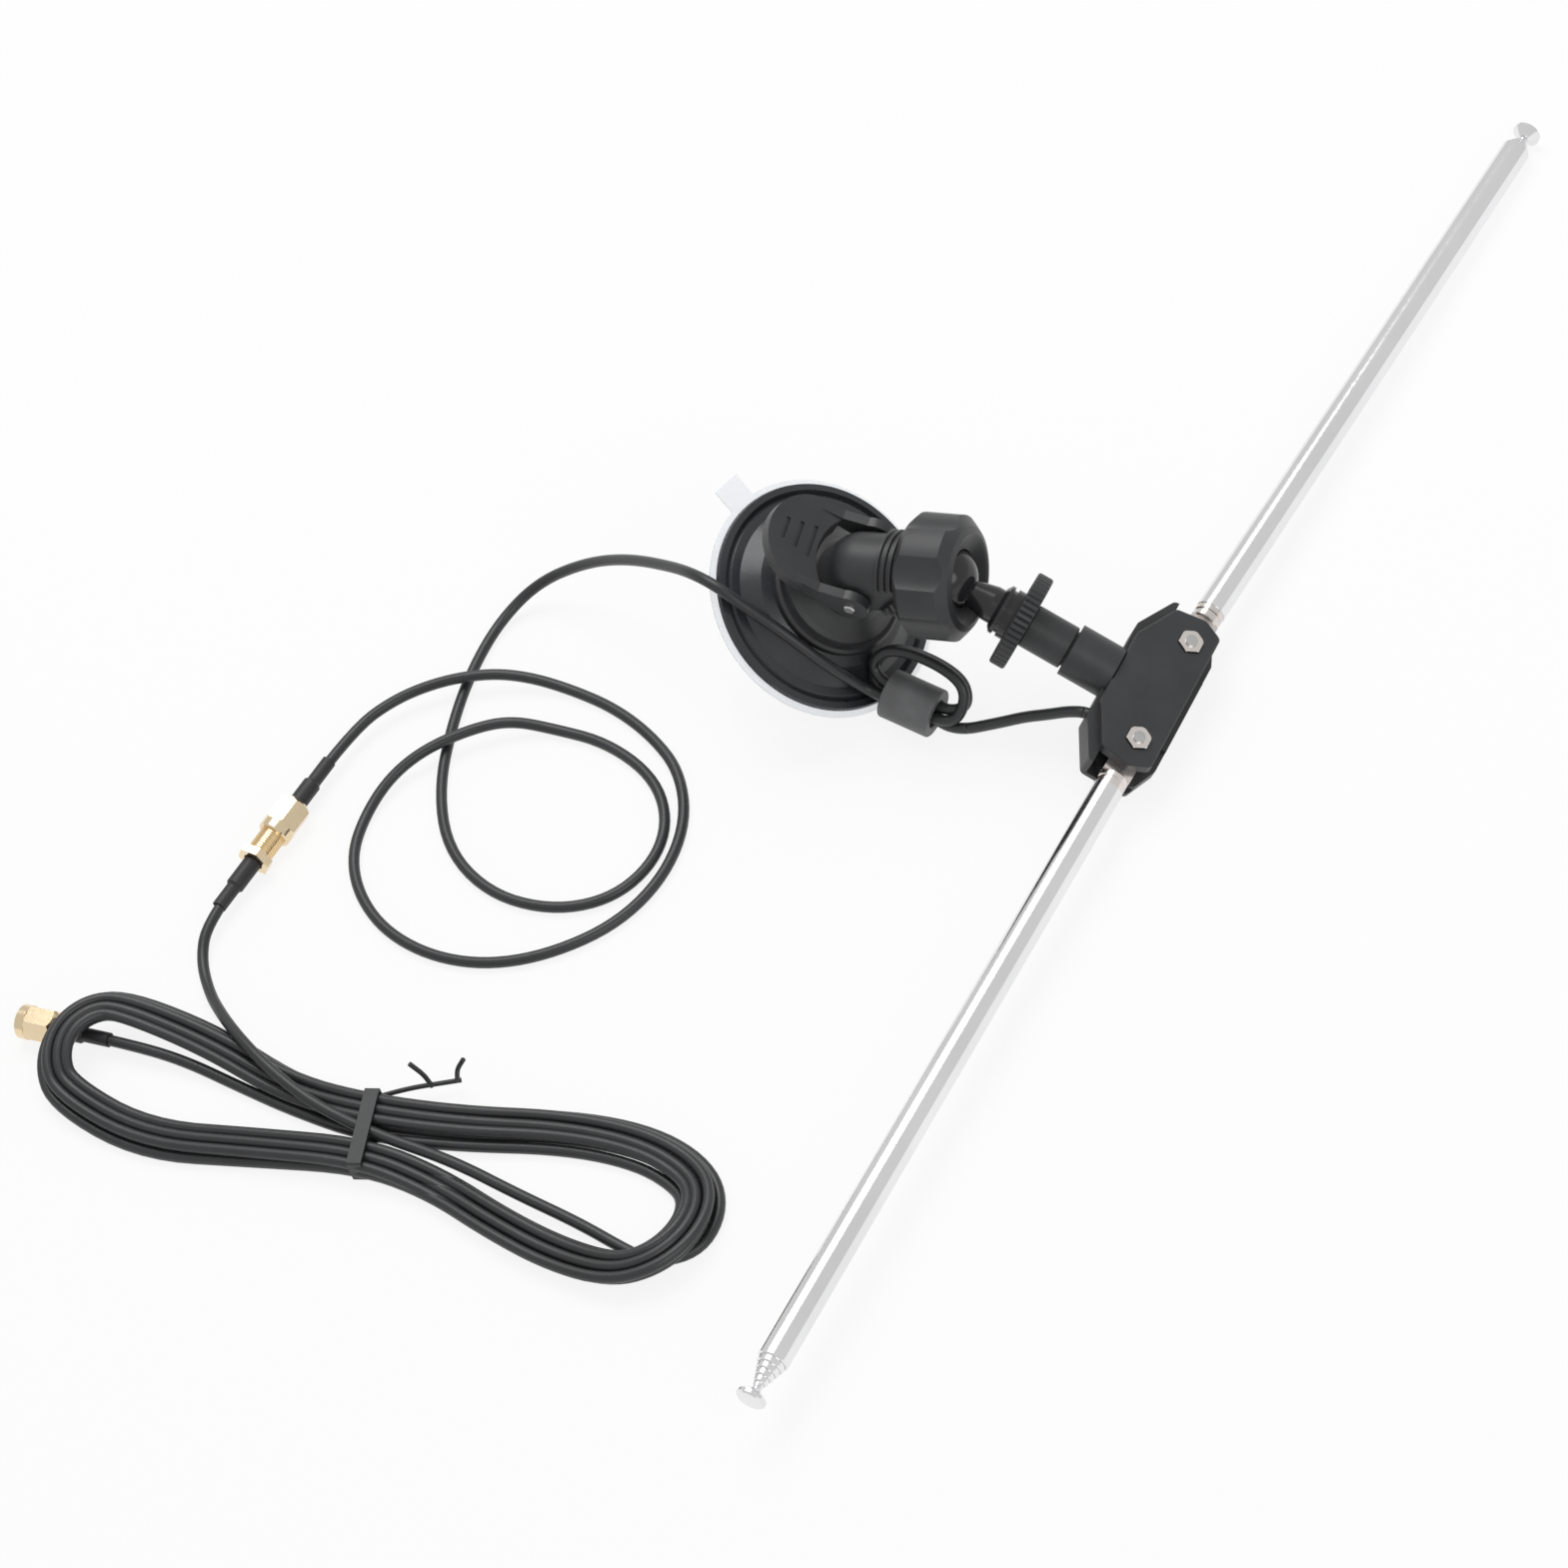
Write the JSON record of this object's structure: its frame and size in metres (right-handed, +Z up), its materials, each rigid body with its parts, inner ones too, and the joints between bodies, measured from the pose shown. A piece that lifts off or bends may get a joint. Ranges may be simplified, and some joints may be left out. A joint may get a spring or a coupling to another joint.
{
  "type": "telescopic dipole antenna",
  "caption": "folding telescopic dipole antenna on a suction mount with ball joint, ferrite core, coaxial lead, threaded coaxial connectors and a tied extension lead",
  "frame": {"origin": "middle of the bottom face of the box of the antenna without its leads, on the surface it lies on", "axes": "+Z up, +Y along the upper rod, +X from the mount towards the junction of the rods"},
  "size_m": [0.247, 0.4114, 0.0561],
  "materials": {
    "black_plastic": "fine satin grain, near black",
    "lever_plastic": "satin moulded, near black",
    "ball_plastic": "smooth black",
    "rod_finish": "bright chrome plate on brass",
    "bright_nickel": "bright nickel plate",
    "zinc_steel": "plated steel",
    "tinned_lug": "tinned",
    "gold": "gold plate",
    "cup_rubber": "soft translucent black vinyl",
    "clear_film": "clear film",
    "cord_jacket": "black vinyl jacket",
    "heatshrink": "black shrink sleeve",
    "ferrite": "fired grey black",
    "tie_plastic": "black coated wire"
  },
  "bodies": {
    "mount": {"base_housing": "black_plastic", "ferrite_core": "ferrite", "lead_turns": "cord_jacket", "lead_tail": "cord_jacket", "lead_tube": "cord_jacket", "plug_boot": "heatshrink", "plug_body": "gold", "jack_body": "gold", "jack_boot": "heatshrink", "extension_tube": "cord_jacket", "extension_hank": "cord_jacket", "twist_tie": "tie_plastic", "far_plug_boot": "heatshrink", "far_plug_body": "gold"},
    "cup": {"suction_cup": "cup_rubber", "cup_post": "black_plastic", "lever_pin": "zinc_steel", "suction_film": "clear_film"},
    "lever": {"cam_lever": "lever_plastic"},
    "clamp_nut": {"lock_nut": "black_plastic"},
    "seat": {"ball_seat": "cup_rubber"},
    "stud": {"ball_stud": "ball_plastic"},
    "wheel": {"lock_wheel": "black_plastic"},
    "junction": {"rear_shell": "black_plastic", "front_plate": "black_plastic", "solder_lugs": "tinned_lug", "pivot_screws": "zinc_steel", "pivot_nuts": "bright_nickel", "stem_sleeve": "black_plastic"},
    "plug_ring": {"plug_nut": "gold"},
    "far_plug_ring": {"far_plug_nut": "gold"},
    "upper_rod": {"upper_ferrule": "bright_nickel", "upper_section_1": "rod_finish"},
    "upper_slide_2": {"upper_section_2": "rod_finish"},
    "upper_slide_3": {"upper_section_3": "rod_finish"},
    "upper_slide_4": {"upper_section_4": "rod_finish"},
    "upper_slide_5": {"upper_section_5": "rod_finish"},
    "upper_slide_6": {"upper_section_6": "rod_finish"},
    "lower_rod": {"lower_ferrule": "bright_nickel", "lower_section_1": "rod_finish"},
    "lower_slide_2": {"lower_section_2": "rod_finish"},
    "lower_slide_3": {"lower_section_3": "rod_finish"},
    "lower_slide_4": {"lower_section_4": "rod_finish"},
    "lower_slide_5": {"lower_section_5": "rod_finish"},
    "lower_slide_6": {"lower_section_6": "rod_finish"}
  },
  "joints": [
    {"name": "cup_draw", "type": "slide", "parent": "mount", "child": "cup", "axis": [-0.6959, 0, -0.7181], "range_m": [0, 0.003]},
    {"name": "lever_swing", "type": "hinge", "parent": "cup", "child": "lever", "pos_m": [-0.0232, -0.00089, 0.03803], "axis": [-0.1333, 0.9826, 0.1292], "range_deg": [0, 75]},
    {"name": "clamp_nut_turn", "type": "hinge", "parent": "mount", "child": "clamp_nut", "pos_m": [-0.00218, 0.0019, 0.03854], "axis": [0.9899, 0.1257, 0.0658], "range_deg": [0, 180]},
    {"name": "ball_turn", "type": "hinge", "parent": "mount", "child": "seat", "pos_m": [-0.00218, 0.0019, 0.03854], "axis": [0.9899, 0.1257, 0.0658], "range_deg": [-120, 120], "deforming": ["lead_tail"]},
    {"name": "ball_tilt", "type": "hinge", "parent": "seat", "child": "stud", "pos_m": [-0.00218, 0.0019, 0.03854], "axis": [0.1103, -0.9736, 0.1999], "range_deg": [-0.6, 67.4], "deforming": ["lead_tail"]},
    {"name": "wheel_turn", "type": "hinge", "parent": "stud", "child": "wheel", "pos_m": [0.01612, 0.0019, 0.02844], "axis": [0.8755, 0, -0.4833], "range_deg": [-180, 180]},
    {"name": "stem_turn", "type": "hinge", "parent": "stud", "child": "junction", "pos_m": [0.04904, 0.0019, 0.01027], "axis": [0.8755, 0, -0.4833], "range_deg": [-90, 90], "deforming": ["lead_tail"]},
    {"name": "plug_ring_spin", "type": "hinge", "parent": "mount", "child": "plug_ring", "pos_m": [-0.14874, -0.09163, 0.00405], "axis": [-0.0863, -0.9963, 0], "continuous": true},
    {"name": "far_plug_ring_spin", "type": "hinge", "parent": "mount", "child": "far_plug_ring", "pos_m": [-0.17592, -0.16609, 0.00405], "axis": [-0.9962, -0.0872, 0], "continuous": true},
    {"name": "upper_swing", "type": "hinge", "parent": "junction", "child": "upper_rod", "pos_m": [0.04904, 0.0171, 0.01027], "axis": [-0.4833, 0, -0.8755], "range_deg": [-16.2, 85.8]},
    {"name": "lower_swing", "type": "hinge", "parent": "junction", "child": "lower_rod", "pos_m": [0.04904, -0.0133, 0.01027], "axis": [0.4833, 0, 0.8755], "range_deg": [-10.4, 91.6]},
    {"name": "upper_slide_2", "type": "slide", "parent": "upper_rod", "child": "upper_slide_2", "axis": [0.0641, 0.9973, -0.0354], "range_m": [0, 0.15]},
    {"name": "upper_slide_3", "type": "slide", "parent": "upper_slide_2", "child": "upper_slide_3", "axis": [0.0641, 0.9973, -0.0354], "range_m": [0, 0.15]},
    {"name": "upper_slide_4", "type": "slide", "parent": "upper_slide_3", "child": "upper_slide_4", "axis": [0.0641, 0.9973, -0.0354], "range_m": [0, 0.15]},
    {"name": "upper_slide_5", "type": "slide", "parent": "upper_slide_4", "child": "upper_slide_5", "axis": [0.0641, 0.9973, -0.0354], "range_m": [0, 0.15]},
    {"name": "upper_slide_6", "type": "slide", "parent": "upper_slide_5", "child": "upper_slide_6", "axis": [0.0641, 0.9973, -0.0354], "range_m": [0, 0.15]},
    {"name": "lower_slide_2", "type": "slide", "parent": "lower_rod", "child": "lower_slide_2", "axis": [-0.0244, -0.9996, 0.0135], "range_m": [0, 0.15]},
    {"name": "lower_slide_3", "type": "slide", "parent": "lower_slide_2", "child": "lower_slide_3", "axis": [-0.0244, -0.9996, 0.0135], "range_m": [0, 0.15]},
    {"name": "lower_slide_4", "type": "slide", "parent": "lower_slide_3", "child": "lower_slide_4", "axis": [-0.0244, -0.9996, 0.0135], "range_m": [0, 0.15]},
    {"name": "lower_slide_5", "type": "slide", "parent": "lower_slide_4", "child": "lower_slide_5", "axis": [-0.0244, -0.9996, 0.0135], "range_m": [0, 0.15]},
    {"name": "lower_slide_6", "type": "slide", "parent": "lower_slide_5", "child": "lower_slide_6", "axis": [-0.0244, -0.9996, 0.0135], "range_m": [0, 0.15]}
  ],
  "couplings": [
    {"joint": "lever_swing", "follows": "cup_draw", "rad_per_m": 436.33}
  ]
}
